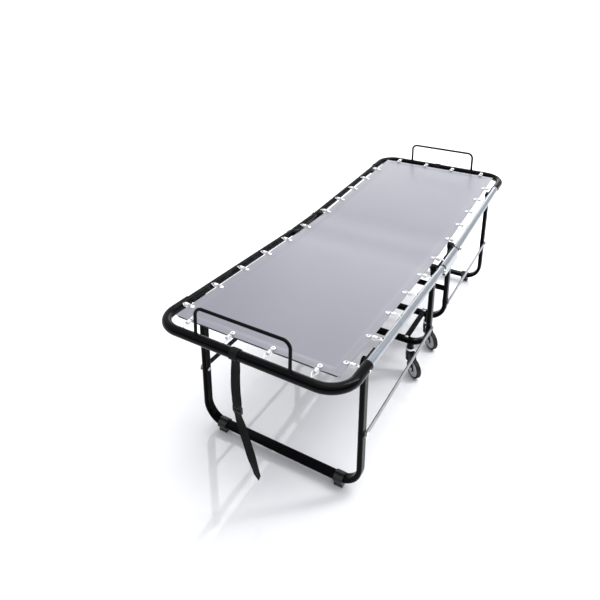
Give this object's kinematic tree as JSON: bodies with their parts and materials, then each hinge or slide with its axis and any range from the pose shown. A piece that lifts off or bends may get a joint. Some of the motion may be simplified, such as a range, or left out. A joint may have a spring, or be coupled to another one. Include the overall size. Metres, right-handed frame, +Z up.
{
  "type": "rollaway bed",
  "caption": "Folding rollaway bed frame: sprung fabric deck in two halves that fold up from a wheeled centre carriage, with self-folding end legs.",
  "frame": {"origin": "on the floor at the middle of the open bed", "axes": "+Z up, Y along the length of the bed with the strap at the -Y end, +X to the right side"},
  "size_m": [0.6626, 1.8346, 0.6159],
  "materials": {
    "black_enamel": "glossy black enamel on bent steel tube",
    "rail_enamel": "glossy dark enamel that mirrors the pale surroundings",
    "link_enamel": "satin grey painted steel strip",
    "zinc": "bright zinc plating",
    "deck_fabric": "smooth grey woven polyester",
    "strap_webbing": "black woven webbing",
    "buckle_plastic": "black moulded plastic",
    "glide_plastic": "black moulded plastic",
    "caster_plastic": "black moulded nylon",
    "hub_plastic": "light grey moulded nylon",
    "tyre_rubber": "black rubber"
  },
  "bodies": {
    "carriage": {"centre_leg_near": "black_enamel", "centre_leg_far": "black_enamel", "upper_cross_tube": "black_enamel", "tie_bar_left": "black_enamel", "tie_bar_right": "black_enamel", "centre_rail_left": "rail_enamel", "centre_rail_right": "rail_enamel", "hinge_plate_left": "black_enamel", "hinge_plate_right": "black_enamel", "hinge_bolts": "zinc", "link_bolts_centre": "zinc", "caster_sockets": "zinc", "caster_races": "zinc", "fabric_centre": "deck_fabric", "springs_centre": "zinc"},
    "near_deck": {"end_tube_near": "black_enamel", "side_rail_near_left": "rail_enamel", "side_rail_near_right": "rail_enamel", "leg_brackets_near": "black_enamel", "leg_bolts_near": "zinc", "retainer_bar_near": "black_enamel", "fabric_near": "deck_fabric", "springs_near": "zinc", "strap": "strap_webbing", "strap_buckle": "buckle_plastic"},
    "far_deck": {"end_tube_far": "black_enamel", "side_rail_far_left": "rail_enamel", "side_rail_far_right": "rail_enamel", "leg_brackets_far": "black_enamel", "leg_bolts_far": "zinc", "retainer_bar_far": "black_enamel", "fabric_far": "deck_fabric", "springs_far": "zinc", "strap_keeper": "strap_webbing"},
    "near_legs": {"end_leg_near": "black_enamel", "leg_glides_near": "glide_plastic", "link_bolts_near": "zinc"},
    "far_legs": {"end_leg_far": "black_enamel", "leg_glides_far": "glide_plastic", "link_bolts_far": "zinc"},
    "near_links": {"link_near_left": "link_enamel", "link_near_right": "link_enamel"},
    "far_links": {"link_far_left": "link_enamel", "link_far_right": "link_enamel"},
    "caster_1": {"caster_fork_1": "caster_plastic", "caster_axle_1": "zinc"},
    "wheel_1": {"caster_hub_1": "hub_plastic", "caster_tyre_1": "tyre_rubber"},
    "caster_2": {"caster_fork_2": "caster_plastic", "caster_axle_2": "zinc"},
    "wheel_2": {"caster_hub_2": "hub_plastic", "caster_tyre_2": "tyre_rubber"},
    "caster_3": {"caster_fork_3": "caster_plastic", "caster_axle_3": "zinc"},
    "wheel_3": {"caster_hub_3": "hub_plastic", "caster_tyre_3": "tyre_rubber"},
    "caster_4": {"caster_fork_4": "caster_plastic", "caster_axle_4": "zinc"},
    "wheel_4": {"caster_hub_4": "hub_plastic", "caster_tyre_4": "tyre_rubber"}
  },
  "joints": [
    {"name": "near_fold", "type": "hinge", "parent": "carriage", "child": "near_deck", "pos_m": [0, -0.103, 0.4755], "axis": [-1, 0, 0], "range_deg": [0, 80]},
    {"name": "near_leg_fold", "type": "hinge", "parent": "near_deck", "child": "near_legs", "pos_m": [0, -0.711, 0.4755], "axis": [-1, 0, 0], "range_deg": [-80, 0]},
    {"name": "near_link_swing", "type": "hinge", "parent": "carriage", "child": "near_links", "pos_m": [0, -0.103, 0.2255], "axis": [-1, 0, 0], "range_deg": [0, 80]},
    {"name": "far_fold", "type": "hinge", "parent": "carriage", "child": "far_deck", "pos_m": [0, 0.103, 0.4755], "axis": [1, 0, 0], "range_deg": [0, 80]},
    {"name": "far_leg_fold", "type": "hinge", "parent": "far_deck", "child": "far_legs", "pos_m": [0, 0.711, 0.4755], "axis": [1, 0, 0], "range_deg": [-80, 0]},
    {"name": "far_link_swing", "type": "hinge", "parent": "carriage", "child": "far_links", "pos_m": [0, 0.103, 0.2255], "axis": [1, 0, 0], "range_deg": [0, 80]},
    {"name": "caster_swivel_1", "type": "hinge", "parent": "carriage", "child": "caster_1", "pos_m": [0.222, -0.103, 0.095], "axis": [0, 0, 1], "continuous": true},
    {"name": "wheel_spin_1", "type": "hinge", "parent": "caster_1", "child": "wheel_1", "pos_m": [0.24915, -0.12346, 0.0375], "axis": [0.6018, 0.7986, 0], "continuous": true},
    {"name": "caster_swivel_2", "type": "hinge", "parent": "carriage", "child": "caster_2", "pos_m": [0.222, 0.103, 0.095], "axis": [0, 0, 1], "continuous": true},
    {"name": "wheel_spin_2", "type": "hinge", "parent": "caster_2", "child": "wheel_2", "pos_m": [0.24915, 0.08254, 0.0375], "axis": [0.6018, 0.7986, 0], "continuous": true},
    {"name": "caster_swivel_3", "type": "hinge", "parent": "carriage", "child": "caster_3", "pos_m": [-0.222, -0.103, 0.095], "axis": [0, 0, 1], "continuous": true},
    {"name": "wheel_spin_3", "type": "hinge", "parent": "caster_3", "child": "wheel_3", "pos_m": [-0.19485, -0.12346, 0.0375], "axis": [0.6018, 0.7986, 0], "continuous": true},
    {"name": "caster_swivel_4", "type": "hinge", "parent": "carriage", "child": "caster_4", "pos_m": [-0.222, 0.103, 0.095], "axis": [0, 0, 1], "continuous": true},
    {"name": "wheel_spin_4", "type": "hinge", "parent": "caster_4", "child": "wheel_4", "pos_m": [-0.19485, 0.08254, 0.0375], "axis": [0.6018, 0.7986, 0], "continuous": true}
  ],
  "couplings": [
    {"joint": "near_leg_fold", "follows": "near_fold", "ratio": -1},
    {"joint": "near_link_swing", "follows": "near_fold", "ratio": 1},
    {"joint": "far_leg_fold", "follows": "far_fold", "ratio": -1},
    {"joint": "far_link_swing", "follows": "far_fold", "ratio": 1}
  ]
}
